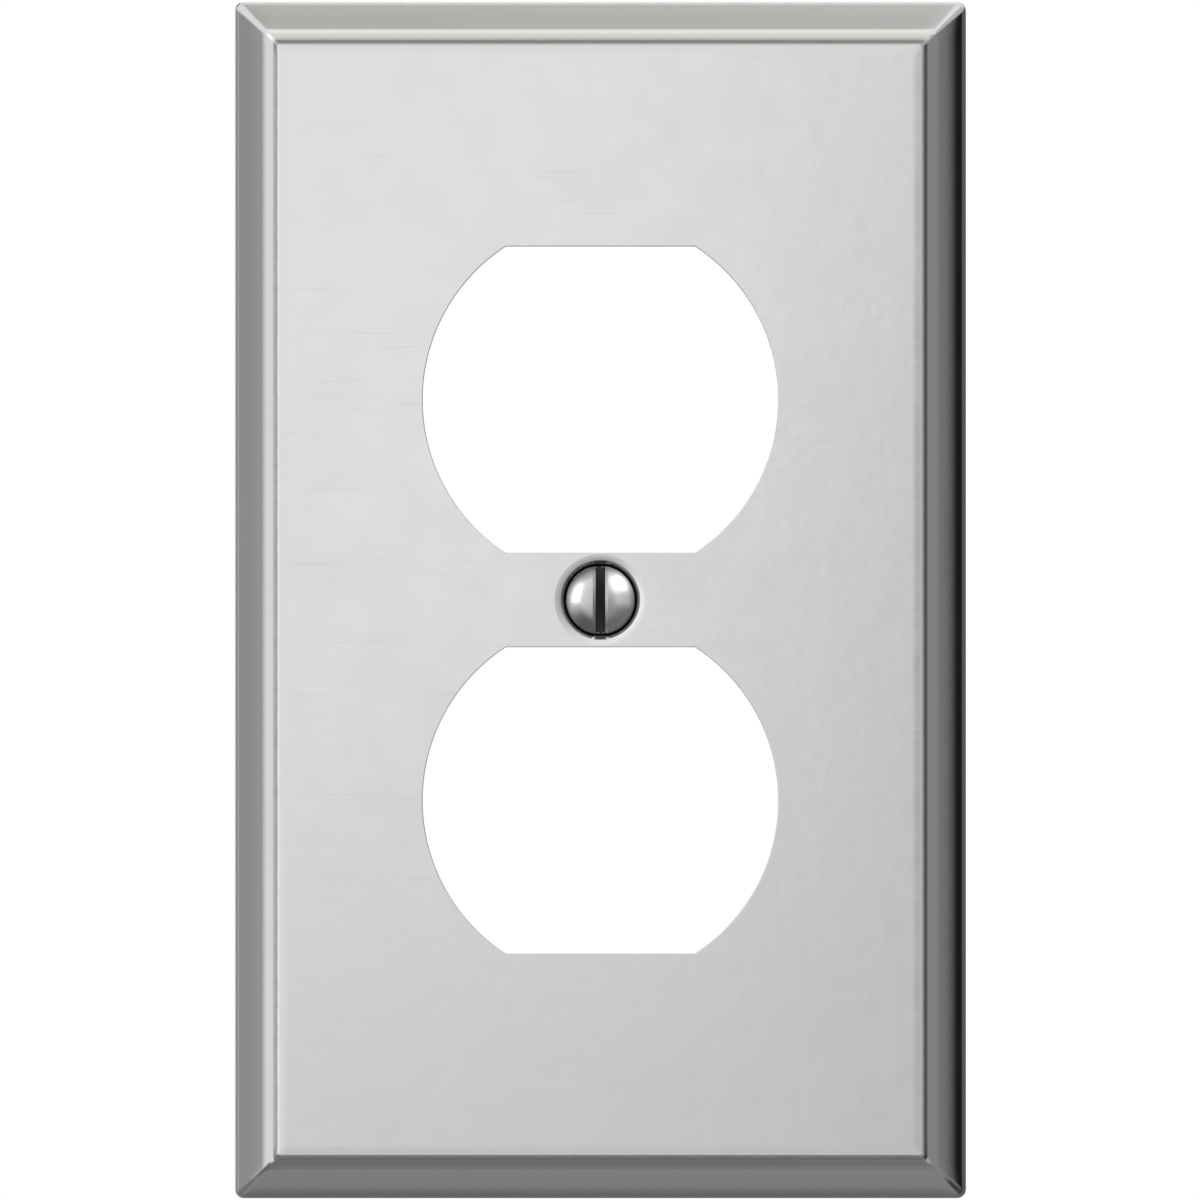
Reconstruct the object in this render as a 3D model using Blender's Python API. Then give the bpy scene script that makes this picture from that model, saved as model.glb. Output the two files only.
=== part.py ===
"""Duplex outlet wall plate: a stamped and plated steel cover, its mounting screw and the retaining washer.

The plate hangs on a wall. X runs across its width, Z up its height, and -Y points out of the wall into the
room. The origin is on the screw's axis, in the plane of the wall. All lengths are in metres.
"""

import math

import bmesh
import bpy

MM = 0.001

# Cover plate: overall size, sheet and the two openings for the outlet faces
PLATE_WIDTH = 69.85 * MM
PLATE_HEIGHT = 114.3 * MM
FACE_HEIGHT = 5.5 * MM
SHEET = 0.9 * MM
OPENING_WIDTH = 33.9 * MM
OPENING_FLATS = 29.2 * MM
OPENING_SPACING = 38.2 * MM
OPENING_ARC_RADIUS = 17.4 * MM

# Rim of the plate, from the wall inwards: upright edge, bevel, narrow ledge, step up to the face
EDGE_HEIGHT = 1.1 * MM
BEVEL_RUN = 3.0 * MM
LEDGE_RUN = 0.75 * MM
LEDGE_RISE = 0.32 * MM
STEP_RUN = 0.36 * MM
STEP_RISE = 0.6 * MM
EDGE_ROUND = 1.4 * MM
BEVEL_TOP_ROUND = 0.8 * MM
LEDGE_ROUND = 0.14 * MM
FACE_EDGE_ROUND = 0.45 * MM
INSIDE_BEND_ROUND = 0.09 * MM
CORNER_RADIUS = 0.8 * MM
INSIDE_CORNER_RADIUS = 0.3 * MM

# Mounting screw: 6-32 UNC, slotted oval head, half an inch long under the head's edge
SCREW_DIAMETER = 3.505 * MM
THREAD_PITCH = 25.4 / 32 * MM
THREAD_DEPTH = 0.487 * MM
THREAD_CREST_SHARE = 1 / 8
THREAD_RUNOUT = 0.6 * MM
SCREW_LENGTH = 12.7 * MM
HEAD_DIAMETER = 6.5 * MM
HEAD_CROWN = 1.04 * MM
HEAD_LAND = 0.12 * MM
HEAD_SINK = 0.3 * MM
CONE_ANGLE = math.radians(82)
NECK_LENGTH = 0.5 * MM
TIP_CHAMFER = 0.5 * MM
SLOT_WIDTH = 0.9 * MM
SLOT_DEPTH = 1.25 * MM

# Countersunk dimple in the plate, which the screw's head seats in
SEAT_CLEARANCE = 0.2 * MM
HOLE_CLEARANCE = 0.25 * MM
LIP_ROUND = 1.2 * MM
LIP_MARGIN = 0.06 * MM

# Retaining washer: pushed on the thread behind the plate, it lets the screw back out only by its travel
WASHER_DIAMETER = 7.2 * MM
WASHER_THICKNESS = 0.8 * MM
WASHER_CLEARANCE = 0.1 * MM
CAPTIVE_TRAVEL = 2.0 * MM
STOP_GAP = 0.1 * MM

# How finely the round shapes are cut
FILLET_STEPS = 4
CORNER_STEPS = 5
OPENING_STEPS = 24
SEAT_STEPS = 48
SCREW_STEPS = 32
CROWN_STEPS = 7
SHARP_ANGLE = math.radians(35)
OVERCUT = 1.0 * MM
WELD = 1e-7

# Places along Y, and the radii there, that the plate, the screw and the washer share
FACE_Y = -FACE_HEIGHT
BACK_Y = FACE_Y + SHEET
HEAD_EDGE_Y = FACE_Y + HEAD_SINK
CONE_SLOPE = math.tan(CONE_ANGLE / 2)
CONE_LEAN = math.cos(CONE_ANGLE / 2)
SCREW_RADIUS = SCREW_DIAMETER / 2
HEAD_RADIUS = HEAD_DIAMETER / 2
HOLE_RADIUS = SCREW_RADIUS + HOLE_CLEARANCE
# The seat is the head's cone moved out by the clearance. Its mouth is where that cone would meet the plane
# of the face.
SEAT_MOUTH_RADIUS = HEAD_RADIUS + SEAT_CLEARANCE / CONE_LEAN + (HEAD_SINK + HEAD_LAND) * CONE_SLOPE
SEAT_END_Y = FACE_Y + (SEAT_MOUTH_RADIUS - HOLE_RADIUS) / CONE_SLOPE
WASHER_FRONT_Y = SEAT_END_Y + CAPTIVE_TRAVEL + STOP_GAP


def clear_scene():
    for obj in list(bpy.data.objects):
        bpy.data.objects.remove(obj, do_unlink=True)


def finish(name, colour, metallic, roughness):
    """A Principled material of one colour."""
    material = bpy.data.materials.new(name)
    material.use_nodes = True
    shader = material.node_tree.nodes["Principled BSDF"]
    shader.inputs["Base Color"].default_value = (*colour, 1.0)
    shader.inputs["Metallic"].default_value = metallic
    shader.inputs["Roughness"].default_value = roughness
    return material


def smooth_round_faces(mesh):
    mesh.shade_smooth()
    mesh.set_sharp_from_angle(angle=SHARP_ANGLE)


def make_object(name, shape, material=None):
    """Turns a closed bmesh into a named object."""
    bmesh.ops.remove_doubles(shape, verts=shape.verts, dist=WELD)
    bmesh.ops.recalc_face_normals(shape, faces=shape.faces)
    mesh = bpy.data.meshes.new(name)
    shape.to_mesh(mesh)
    shape.free()
    smooth_round_faces(mesh)
    if material:
        mesh.materials.append(material)
    obj = bpy.data.objects.new(name, mesh)
    bpy.context.scene.collection.objects.link(obj)
    return obj


def combine(target, operation, tool_shape):
    """Joins a shape to the target (UNION) or cuts it out (DIFFERENCE), for good."""
    tool = make_object("tool", tool_shape)
    modifier = target.modifiers.new(operation.lower(), "BOOLEAN")
    modifier.operation = operation
    modifier.solver = "EXACT"
    modifier.object = tool
    graph = bpy.context.evaluated_depsgraph_get()
    result = bpy.data.meshes.new_from_object(target.evaluated_get(graph))
    target.modifiers.remove(modifier)
    target.data = result
    smooth_round_faces(result)
    bpy.data.objects.remove(tool, do_unlink=True)


def skin(shape, rings):
    """Joins each closed ring of vertices to the next one with quads."""
    for lower, upper in zip(rings, rings[1:]):
        for i in range(len(lower)):
            n = (i + 1) % len(lower)
            shape.faces.new((lower[i], lower[n], upper[n], upper[i]))


def round_corner(before, corner, after, radius):
    """The points of an arc that rounds one corner of a polyline and touches both of its legs.

    The radius is cut down where a leg is too short to hold it.
    """
    leg_in = (before[0] - corner[0], before[1] - corner[1])
    leg_out = (after[0] - corner[0], after[1] - corner[1])
    length_in, length_out = math.hypot(*leg_in), math.hypot(*leg_out)
    unit_in = (leg_in[0] / length_in, leg_in[1] / length_in)
    unit_out = (leg_out[0] / length_out, leg_out[1] / length_out)
    half_angle = math.acos(unit_in[0] * unit_out[0] + unit_in[1] * unit_out[1]) / 2
    tangent = min(radius / math.tan(half_angle), 0.49 * length_in, 0.49 * length_out)
    fitted = tangent * math.tan(half_angle)
    bisector = (unit_in[0] + unit_out[0], unit_in[1] + unit_out[1])
    reach = fitted / math.sin(half_angle) / math.hypot(*bisector)
    centre = (corner[0] + bisector[0] * reach, corner[1] + bisector[1] * reach)
    start = (corner[0] + unit_in[0] * tangent, corner[1] + unit_in[1] * tangent)
    end = (corner[0] + unit_out[0] * tangent, corner[1] + unit_out[1] * tangent)
    first = math.atan2(start[1] - centre[1], start[0] - centre[0])
    last = math.atan2(end[1] - centre[1], end[0] - centre[0])
    turn = (last - first + math.pi) % (2 * math.pi) - math.pi
    angles = [first + turn * step / FILLET_STEPS for step in range(FILLET_STEPS + 1)]
    return [(centre[0] + fitted * math.cos(a), centre[1] + fitted * math.sin(a)) for a in angles]


def rounded(corners, radii):
    """A polyline with its inner corners rounded, each by the radius given for it."""
    path = [corners[0]]
    for before, corner, after, radius in zip(corners, corners[1:], corners[2:], radii):
        path += round_corner(before, corner, after, radius)
    return path + [corners[-1]]


def offset(corners, distance):
    """The polyline moved sideways, to the right of its own direction, with its corners kept sharp."""
    sides = []
    for a, b in zip(corners, corners[1:]):
        length = math.hypot(b[0] - a[0], b[1] - a[1])
        sides.append(((b[1] - a[1]) / length, (a[0] - b[0]) / length))
    moved = []
    for point, before, after in zip(corners, sides[:1] + sides, sides + sides[-1:]):
        middle = (before[0] + after[0], before[1] + after[1])
        reach = 2 * distance / (middle[0] ** 2 + middle[1] ** 2)
        moved.append((point[0] + middle[0] * reach, point[1] + middle[1] * reach))
    return moved


def rim_sections():
    """The rim's outer and inner outlines, each a list of (inset from the edge, height over the wall)."""
    bevel_top = (BEVEL_RUN, FACE_HEIGHT - STEP_RISE - LEDGE_RISE)
    ledge_end = (BEVEL_RUN + LEDGE_RUN, FACE_HEIGHT - STEP_RISE)
    face_edge = (ledge_end[0] + STEP_RUN, FACE_HEIGHT)
    on_face = (face_edge[0] + FACE_EDGE_ROUND + SHEET, FACE_HEIGHT)
    corners = [(0.0, 0.0), (0.0, EDGE_HEIGHT), bevel_top, ledge_end, face_edge, on_face]
    outer = rounded(corners, [EDGE_ROUND, BEVEL_TOP_ROUND, LEDGE_ROUND, FACE_EDGE_ROUND])
    # A bend that is round outside is nearly sharp inside, and the other way round at the foot of the step.
    inside_rounds = [INSIDE_BEND_ROUND, INSIDE_BEND_ROUND, LEDGE_ROUND + SHEET, INSIDE_BEND_ROUND]
    inner = rounded(offset(corners, SHEET), inside_rounds)
    return outer, inner


def rounded_rectangle(shape, inset, height, radius):
    """One ring of vertices round the plate, at an inset from its edge and a height over the wall."""
    half_x, half_z = PLATE_WIDTH / 2 - inset - radius, PLATE_HEIGHT / 2 - inset - radius
    ring = []
    for quarter, (side_x, side_z) in enumerate(((1, 1), (-1, 1), (-1, -1), (1, -1))):
        for step in range(CORNER_STEPS + 1):
            angle = (quarter + step / CORNER_STEPS) * math.pi / 2
            x = side_x * half_x + radius * math.cos(angle)
            z = side_z * half_z + radius * math.sin(angle)
            ring.append(shape.verts.new((x, -height, z)))
    return ring


def pressed_tray():
    """The pressed sheet before it is pierced: a shallow tray of even thickness, open to the wall."""
    outer, inner = rim_sections()
    tray = bmesh.new()
    front = [rounded_rectangle(tray, inset, height, CORNER_RADIUS) for inset, height in reversed(outer)]
    back = [rounded_rectangle(tray, inset, height, INSIDE_CORNER_RADIUS) for inset, height in inner]
    skin(tray, front + back)
    tray.faces.new(front[0])
    tray.faces.new(back[-1])
    return tray


def turned(profile):
    """A body turned about the screw's axis from a list of (radius, y)."""
    body = bmesh.new()
    verts = [body.verts.new((radius, y, 0.0)) for radius, y in profile]
    edges = [body.edges.new(pair) for pair in zip(verts, verts[1:])]
    axis = (0.0, 1.0, 0.0)
    bmesh.ops.spin(body, geom=verts + edges, axis=axis, angle=2 * math.pi, steps=SEAT_STEPS, use_merge=True)
    return body


def dimple_back():
    """The back of the countersunk dimple, a cone that stands one sheet thickness off the seat."""
    end_radius = HOLE_RADIUS + SHEET / CONE_LEAN
    root_radius = end_radius + (SEAT_END_Y - BACK_Y) * CONE_SLOPE
    inside_sheet = BACK_Y - SHEET / 2
    outline = [(0.0, inside_sheet), (root_radius, inside_sheet), (root_radius, BACK_Y)]
    return turned(outline + [(end_radius, SEAT_END_Y), (0.0, SEAT_END_Y)])


def seat_opening():
    """What the dimple leaves open: a rounded lip at the face, the cone of the seat, then the screw's hole.

    The lip is kept inside the bridge between the two outlet openings.
    """
    bridge_half = (OPENING_SPACING - OPENING_FLATS) / 2
    lip_turn = math.pi / 2 - CONE_ANGLE / 2
    lip_room = max(bridge_half - LIP_MARGIN - SEAT_MOUTH_RADIUS, LIP_MARGIN)
    lip_radius = min(LIP_ROUND, lip_room / math.tan(lip_turn / 2))
    lip_start = SEAT_MOUTH_RADIUS + lip_radius * math.tan(lip_turn / 2)
    outline = [(0.0, FACE_Y - OVERCUT), (lip_start, FACE_Y - OVERCUT)]
    for step in range(2 * FILLET_STEPS + 1):
        angle = lip_turn * step / (2 * FILLET_STEPS)
        radius = lip_start - lip_radius * math.sin(angle)
        outline.append((radius, FACE_Y + lip_radius * (1 - math.cos(angle))))
    behind = SEAT_END_Y + OVERCUT
    return turned(outline + [(HOLE_RADIUS, SEAT_END_Y), (HOLE_RADIUS, behind), (0.0, behind)])


def outlet_opening(centre_z):
    """The space of one outlet opening: two arcs joined by a flat at the top and one at the bottom."""
    arc_centre = OPENING_ARC_RADIUS - OPENING_WIDTH / 2
    sweep = math.asin(OPENING_FLATS / 2 / OPENING_ARC_RADIUS)
    space = bmesh.new()
    ring = []
    for side in (1, -1):
        for step in range(OPENING_STEPS + 1):
            angle = sweep * (2 * step / OPENING_STEPS - 1)
            x = side * (OPENING_ARC_RADIUS * math.cos(angle) - arc_centre)
            z = centre_z + side * OPENING_ARC_RADIUS * math.sin(angle)
            ring.append(space.verts.new((x, FACE_Y - OVERCUT, z)))
    face = space.faces.new(ring)
    grown = bmesh.ops.extrude_face_region(space, geom=[face])["geom"]
    far_side = [item for item in grown if isinstance(item, bmesh.types.BMVert)]
    bmesh.ops.translate(space, verts=far_side, vec=(0.0, FACE_HEIGHT + 2 * OVERCUT, 0.0))
    return space


def make_cover_plate(material):
    plate = make_object("cover_plate", pressed_tray(), material)
    combine(plate, "UNION", dimple_back())
    for side in (1, -1):
        combine(plate, "DIFFERENCE", outlet_opening(side * OPENING_SPACING / 2))
    combine(plate, "DIFFERENCE", seat_opening())


def screw_ring(shape, radius, y):
    """A ring of vertices about the screw's axis."""
    angles = [2 * math.pi * step / SCREW_STEPS for step in range(SCREW_STEPS)]
    return [shape.verts.new((radius * math.cos(a), y, radius * math.sin(a))) for a in angles]


def add_thread(screw, start_y, end_y):
    """The right-hand thread's flanks as a sheet that climbs one pitch a turn, between plain root rings.

    Each pitch has three rows of points: the root and the two edges of the crest. A point that would lie
    past an end is held on it. The thread fades in and out over the run-out length, so the ends are plain
    rings.
    """
    form = ((0.0, 0.0), (0.5 - THREAD_CREST_SHARE / 2, 1.0), (0.5 + THREAD_CREST_SHARE / 2, 1.0))
    turns = math.ceil((end_y - start_y) / THREAD_PITCH)
    grid = []
    for share, depth in [(turn + share, depth) for turn in range(-1, turns + 1) for share, depth in form]:
        row = []
        for step in range(SCREW_STEPS + 1):
            around = step / SCREW_STEPS
            y = min(max(start_y + (share + around) * THREAD_PITCH, start_y), end_y)
            fade = min((y - start_y) / THREAD_RUNOUT, (end_y - y) / THREAD_RUNOUT, 1.0)
            radius = SCREW_RADIUS - THREAD_DEPTH * (1 - depth * fade)
            angle = -2 * math.pi * around
            row.append(screw.verts.new((radius * math.cos(angle), y, radius * math.sin(angle))))
        grid.append(row)
    for lower, upper in zip(grid, grid[1:]):
        for i in range(SCREW_STEPS):
            screw.faces.new((lower[i], lower[i + 1], upper[i + 1], upper[i]))


def screw_blank():
    """The screw without its slot: domed crown, cone, neck, thread and chamfered tip in one closed skin."""
    dome_radius = (HEAD_RADIUS**2 + HEAD_CROWN**2) / (2 * HEAD_CROWN)
    dome_centre_y = HEAD_EDGE_Y - HEAD_CROWN + dome_radius
    dome_angle = math.asin(HEAD_RADIUS / dome_radius)
    cone_start_y = HEAD_EDGE_Y + HEAD_LAND
    cone_end_y = cone_start_y + (HEAD_RADIUS - SCREW_RADIUS) / CONE_SLOPE
    thread_start_y = cone_end_y + NECK_LENGTH
    tip_y = HEAD_EDGE_Y + SCREW_LENGTH
    thread_end_y = tip_y - TIP_CHAMFER
    root_radius = SCREW_RADIUS - THREAD_DEPTH
    head = []
    for step in range(1, CROWN_STEPS + 1):
        angle = dome_angle * step / CROWN_STEPS
        head.append((dome_radius * math.sin(angle), dome_centre_y - dome_radius * math.cos(angle)))
    head += [(HEAD_RADIUS, cone_start_y), (SCREW_RADIUS, cone_end_y), (root_radius, thread_start_y)]
    screw = bmesh.new()
    head_rings = [screw_ring(screw, radius, y) for radius, y in head]
    tip = [(root_radius, thread_end_y), (root_radius - TIP_CHAMFER, tip_y)]
    tip_rings = [screw_ring(screw, radius, y) for radius, y in tip]
    skin(screw, head_rings)
    skin(screw, tip_rings)
    screw.faces.new(head_rings[0])
    screw.faces.new(tip_rings[-1])
    add_thread(screw, thread_start_y, thread_end_y)
    return screw


def driver_slot():
    """The straight slot across the crown, upright as on a squared-up plate."""
    slot = bmesh.new()
    bmesh.ops.create_cube(slot, size=1.0)
    bmesh.ops.scale(slot, verts=slot.verts, vec=(SLOT_WIDTH, SLOT_DEPTH + OVERCUT, HEAD_DIAMETER + OVERCUT))
    middle_y = HEAD_EDGE_Y - HEAD_CROWN + (SLOT_DEPTH - OVERCUT) / 2
    bmesh.ops.translate(slot, verts=slot.verts, vec=(0.0, middle_y, 0.0))
    return slot


def make_mounting_screw(material):
    screw = make_object("mounting_screw", screw_blank(), material)
    combine(screw, "DIFFERENCE", driver_slot())


def make_retaining_washer(material):
    """A flat ring whose hole just clears the thread's crests."""
    bore, rim = SCREW_RADIUS + WASHER_CLEARANCE, WASHER_DIAMETER / 2
    back_y = WASHER_FRONT_Y + WASHER_THICKNESS
    front_inner, front_outer = (bore, WASHER_FRONT_Y), (rim, WASHER_FRONT_Y)
    section = [front_inner, front_outer, (rim, back_y), (bore, back_y), front_inner]
    make_object("retaining_washer", turned(section), material)


clear_scene()
make_cover_plate(finish("polished_chrome_plate", (0.78, 0.78, 0.77), 1.0, 0.12))
make_mounting_screw(finish("plated_screw", (0.7, 0.7, 0.7), 1.0, 0.15))
make_retaining_washer(finish("natural_nylon", (0.8, 0.78, 0.72), 0.0, 0.45))
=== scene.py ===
import math

import bmesh
import bpy
import numpy as np
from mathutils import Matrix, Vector


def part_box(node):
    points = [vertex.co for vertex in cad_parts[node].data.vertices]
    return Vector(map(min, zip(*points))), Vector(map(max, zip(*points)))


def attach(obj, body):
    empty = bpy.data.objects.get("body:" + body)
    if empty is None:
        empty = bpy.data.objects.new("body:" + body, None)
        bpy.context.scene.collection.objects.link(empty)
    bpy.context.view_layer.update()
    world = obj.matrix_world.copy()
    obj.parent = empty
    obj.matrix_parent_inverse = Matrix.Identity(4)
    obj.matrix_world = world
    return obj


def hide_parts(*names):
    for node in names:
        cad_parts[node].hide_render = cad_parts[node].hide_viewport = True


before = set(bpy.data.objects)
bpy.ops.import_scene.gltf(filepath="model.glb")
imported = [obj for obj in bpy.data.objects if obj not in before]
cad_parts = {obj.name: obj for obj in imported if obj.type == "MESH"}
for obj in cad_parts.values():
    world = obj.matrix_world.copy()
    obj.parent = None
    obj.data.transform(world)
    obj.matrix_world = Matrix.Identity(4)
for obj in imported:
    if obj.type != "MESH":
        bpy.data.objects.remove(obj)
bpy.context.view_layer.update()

MM = 0.001

# ---- Cover plate ----------------------------------------------------------------------------------
# One sheet of steel, pressed into a shallow tray with a bevelled rim, a ledge and a step up to the flat
# face, pierced for the two outlet faces and dimpled for its screw. Polished and bright chrome plated in
# front. The back gets only a thin, dull coat in the bath.
plate_low, plate_high = (np.array(corner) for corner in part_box("cover_plate"))
plate_half = (plate_high - plate_low)[[0, 2]] / 2
face_y = plate_low[1]
SHEET = 0.9 * MM
back_y = face_y + SHEET

EDGE_HEIGHT = 1.1 * MM
BEVEL_RUN = 3.0 * MM
BEVEL_CROWN = 0.1 * MM
LEDGE_RUN = 0.75 * MM
LEDGE_RISE = 0.32 * MM
STEP_RUN = 0.36 * MM
STEP_RISE = 0.6 * MM
PANEL_INSET = 5.2 * MM
CUT_ROUND = 0.12 * MM
OUTER_ROUND = 2.4 * MM
CROWN_ROUND = 14 * MM
BEVEL_ROUND = 3 * MM
LEDGE_ROUND = 0.14 * MM
FACE_ROUND = 0.45 * MM
BACK_ROUND = 0.09 * MM
LEDGE_BACK_ROUND = 1.04 * MM
ARC_STEPS = 12
OUTER_CORNER = 0.85 * MM
PANEL_CORNER = 0.35 * MM
INNER_CORNER = 0.3 * MM
SHARP_ANGLE = math.radians(35)
WELD = 1e-7

OPENING_WIDTH = 33.9 * MM
OPENING_FLATS = 29.2 * MM
OPENING_SPACING = 38.2 * MM
OPENING_ARC = 17.4 * MM
OPENING_FILLET = 0.4 * MM
PUNCH_ROLL = 0.07 * MM
ROLL_POINTS = 7
DIMPLE_SPAN = 8 * MM
GUARD = 0.01 * MM

SEAT_MOUTH = 3.88 * MM
SEAT_HOLE = 2.0025 * MM
DISH_RADIUS = 4.37 * MM
DISH_ROUND = 1.7 * MM
DISH_ANGLE = math.radians(20)
MOUTH_ROUND = 0.12 * MM
HOLE_ROUND = 0.05 * MM
BOSS_ROUND = 0.15 * MM
ROOT_MARGIN = 0.05 * MM
CONE_SHADE = 0.1 * MM
CONE_SLOPE = math.tan(math.radians(41))
CONE_LEAN = math.cos(math.radians(41))
seat_end_y = face_y + (SEAT_MOUTH - SEAT_HOLE) / CONE_SLOPE

FACE_WEAR = 0.15 * MM
FOOT_WEAR = 0.3 * MM
# Painted shade along the step's foot on the top side: its strength, how far out it lies and its width.
PAINTED_FOOT_SHADE = 0.73
PAINTED_FOOT_SHADE_OFFSET = 0.18 * MM
PAINTED_FOOT_SHADE_WIDTH = 0.28 * MM


def rounded(corners, radii, steps=8):
    """A polyline whose inner corners are arcs. Each arc's centre lies on the corner's bisector, and its
    points turn evenly from the leg before the corner to the leg after it."""
    corners = np.array(corners, float)
    path = [corners[:1]]
    for before, corner, after, radius in zip(corners, corners[1:], corners[2:], radii):
        back = (before - corner) / np.linalg.norm(before - corner)
        on = (after - corner) / np.linalg.norm(after - corner)
        half = math.acos(np.clip(back @ on, -1, 1)) / 2
        tangent = radius / math.tan(half)
        centre = corner + (back + on) / np.linalg.norm(back + on) * radius / math.sin(half)
        first, last = corner + back * tangent - centre, corner + on * tangent - centre
        turn = math.pi - 2 * half
        share = np.linspace(0, 1, steps + 1)[:, None]
        swept = first * np.sin((1 - share) * turn) + last * np.sin(share * turn)
        path.append(centre + swept / math.sin(turn))
    return np.vstack(path + [corners[-1:]])


def moved_aside(corners, distance):
    """The polyline moved to the right of its own direction: each corner goes along the sum of its two sides'
    normals, far enough that both sides move by the distance."""
    along = np.diff(corners, axis=0)
    along /= np.linalg.norm(along, axis=1)[:, None]
    aside = np.column_stack([along[:, 1], -along[:, 0]])
    middle = np.vstack([aside[:1], aside]) + np.vstack([aside, aside[-1:]])
    return corners + middle * (2 * distance / np.sum(middle**2, axis=1))[:, None]


SIDE_POINTS = 45
CORNER_POINTS = 8
END_POINTS = 52


def upper_half_path():
    """The upper half of a rounded rectangle as signs and directions: up the right side, round the corner,
    along the top, round the other corner and down the left side."""
    up = np.linspace(0, 1, SIDE_POINTS)
    quarter = np.linspace(0, math.pi / 2, CORNER_POINTS + 1)[1:]
    across = np.linspace(1, -1, END_POINTS + 1)[1:]
    side, corner, end = (np.ones((count, 2)) for count in (SIDE_POINTS, CORNER_POINTS, END_POINTS))
    signs = [np.column_stack([side[:, 0], up]), corner, np.column_stack([across, end[:, 0]])]
    signs += [corner * [-1, 1], np.column_stack([-side[1:, 0], up[-2::-1]])]
    facing = [side * [1, 0], np.column_stack([np.cos(quarter), np.sin(quarter)]), end * [0, 1]]
    facing += [np.column_stack([-np.sin(quarter), np.cos(quarter)]), side[1:] * [-1, 0]]
    return np.vstack(signs), np.vstack(facing)


def rim_rows(path, insets, ys, radii):
    """A profile carried round the plate: each point is the path's sign times the half size less the inset
    and the corner's radius, plus the radius along the path's direction."""
    signs, facing = path
    insets, radii = np.broadcast_arrays(np.atleast_1d(insets), radii)
    flat = signs * (plate_half - (insets + radii)[:, None])[:, None, :] + radii[:, None, None] * facing
    ys = np.broadcast_to(np.reshape(ys, (-1, 1)), flat.shape[:2])
    return np.stack([flat[..., 0], ys, flat[..., 1]], axis=-1)


def opening_loop(grow, y):
    """The upper opening's outline moved out by grow: flats at top and bottom, an arc each side, and between
    them fillets that touch the flat and the arc. It starts on the bottom flat and runs to the right."""
    flat, fillet, arc = OPENING_FLATS / 2 + grow, OPENING_FILLET + grow, OPENING_ARC + grow
    lean = math.asin((OPENING_FLATS / 2 - OPENING_FILLET) / (OPENING_ARC - OPENING_FILLET))
    arc_x = OPENING_WIDTH / 2 - OPENING_ARC
    fillet_x = arc_x + (OPENING_ARC - OPENING_FILLET) * math.cos(lean)
    fillet_z = OPENING_FLATS / 2 - OPENING_FILLET
    upper = np.linspace(lean, math.pi / 2, 7)[1:]
    large = np.linspace(-lean, lean, 61)[1:]
    lower = np.append(-upper[-2::-1], -lean)
    right = [np.column_stack([fillet_x + fillet * np.cos(lower), -fillet_z + fillet * np.sin(lower)])]
    right += [np.column_stack([arc_x + arc * np.cos(large), arc * np.sin(large)])]
    right += [np.column_stack([fillet_x + fillet * np.cos(upper), fillet_z + fillet * np.sin(upper)])]
    right = np.vstack(right)
    bottom = np.append(np.linspace(-DIMPLE_SPAN, DIMPLE_SPAN, 49), np.linspace(DIMPLE_SPAN, fillet_x, 5)[1:])
    top = np.linspace(fillet_x, -fillet_x, 37)[1:]
    last = np.linspace(-fillet_x, -DIMPLE_SPAN, 5)[1:-1]
    pieces = [np.column_stack([bottom, np.full(len(bottom), -flat)]), right]
    pieces += [np.column_stack([top, np.full(len(top), flat)]), -right]
    pieces += [np.column_stack([last, np.full(len(last), -flat)])]
    loop = np.vstack(pieces)
    return np.column_stack([loop[:, 0], np.full(len(loop), y), loop[:, 1] + OPENING_SPACING / 2])


def panel_rows(y, hole_radius, corner_radius, opening_grow):
    """Half of a flat panel: rows that go in straight lines from the opening's outline to the panel's own,
    which is half of the dimple's circle, the middle line, half of the rim and the middle line again. Both
    outlines have the same number of points."""
    turn = np.linspace(math.pi, 0, 49)
    arch = hole_radius * np.column_stack([np.cos(turn), 0 * turn, np.sin(turn)])
    rim = rim_rows(upper_half_path(), PANEL_INSET, 0.0, corner_radius)[0]
    line = np.linspace(hole_radius, rim[0, 0], 17)
    right = np.column_stack([line[1:], 0 * line[1:], 0 * line[1:]])
    left = right[-2::-1] * [-1, 1, 1]
    outline = np.vstack([arch, right, rim[1:], left])
    outline[:, 1] = y
    inner = opening_loop(opening_grow + GUARD, y)
    share = np.linspace(0, 1, 9)[:, None, None]
    return np.concatenate([opening_loop(opening_grow, y)[None], inner * (1 - share) + outline * share])


def turned(profile, steps=96):
    """A profile of radius and y, turned about the screw's axis."""
    turn = 2 * math.pi * np.arange(steps) / steps
    radius, y = profile[:, :1], profile[:, 1:]
    return np.stack([radius * np.cos(turn), y + 0 * turn, radius * np.sin(turn)], axis=-1)


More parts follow.
